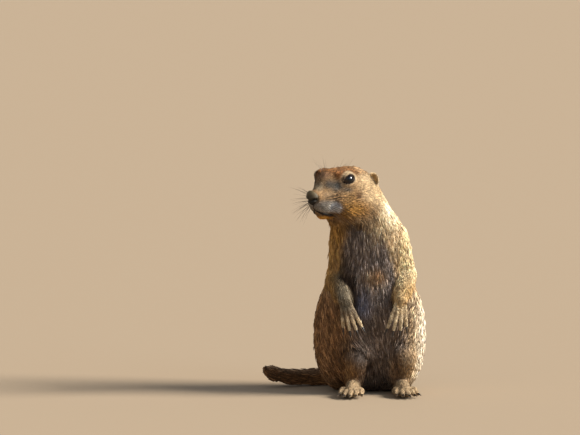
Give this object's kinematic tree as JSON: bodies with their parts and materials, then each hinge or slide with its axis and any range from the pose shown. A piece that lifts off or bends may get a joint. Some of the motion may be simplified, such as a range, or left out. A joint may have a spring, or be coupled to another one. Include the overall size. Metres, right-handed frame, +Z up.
{
  "type": "prairie dog",
  "caption": "Life-size still figure of a prairie dog sitting up on its haunches, head turned to its right, forepaws hanging in front of the belly and tail laid on the ground.",
  "frame": {"origin": "middle of the foot of the bounding box, on the ground the animal sits on", "axes": "+Z up along the seated height, the chest faces -Y, the animal's left side is towards +X"},
  "size_m": [0.149, 0.1284, 0.2047],
  "materials": {
    "coat": "short dense fur, buff grizzled with dark brown",
    "pale_coat": "short cream fur",
    "belly_coat": "soft grey-brown underside fur",
    "tail_coat": "dark brown tail fur with paler tips",
    "bare_skin": "moist dark nose leather",
    "eye": "wet dark brown eye"
  },
  "bodies": {
    "root": {"head": "coat", "lower_jaw": "pale_coat", "nose": "bare_skin", "eye_left": "eye", "eye_right": "eye", "ear_left": "coat", "ear_right": "coat", "neck": "coat", "chest": "belly_coat", "abdomen": "belly_coat", "upper_arm_left": "coat", "upper_arm_right": "coat", "forearm_left": "pale_coat", "forearm_right": "pale_coat", "hand_left": "pale_coat", "hand_right": "pale_coat", "thigh_left": "coat", "thigh_right": "coat", "shank_left": "pale_coat", "shank_right": "pale_coat", "foot_left": "pale_coat", "foot_right": "pale_coat", "tail_base": "coat", "tail_middle": "tail_coat", "tail_tip": "tail_coat"}
  },
  "joints": []
}
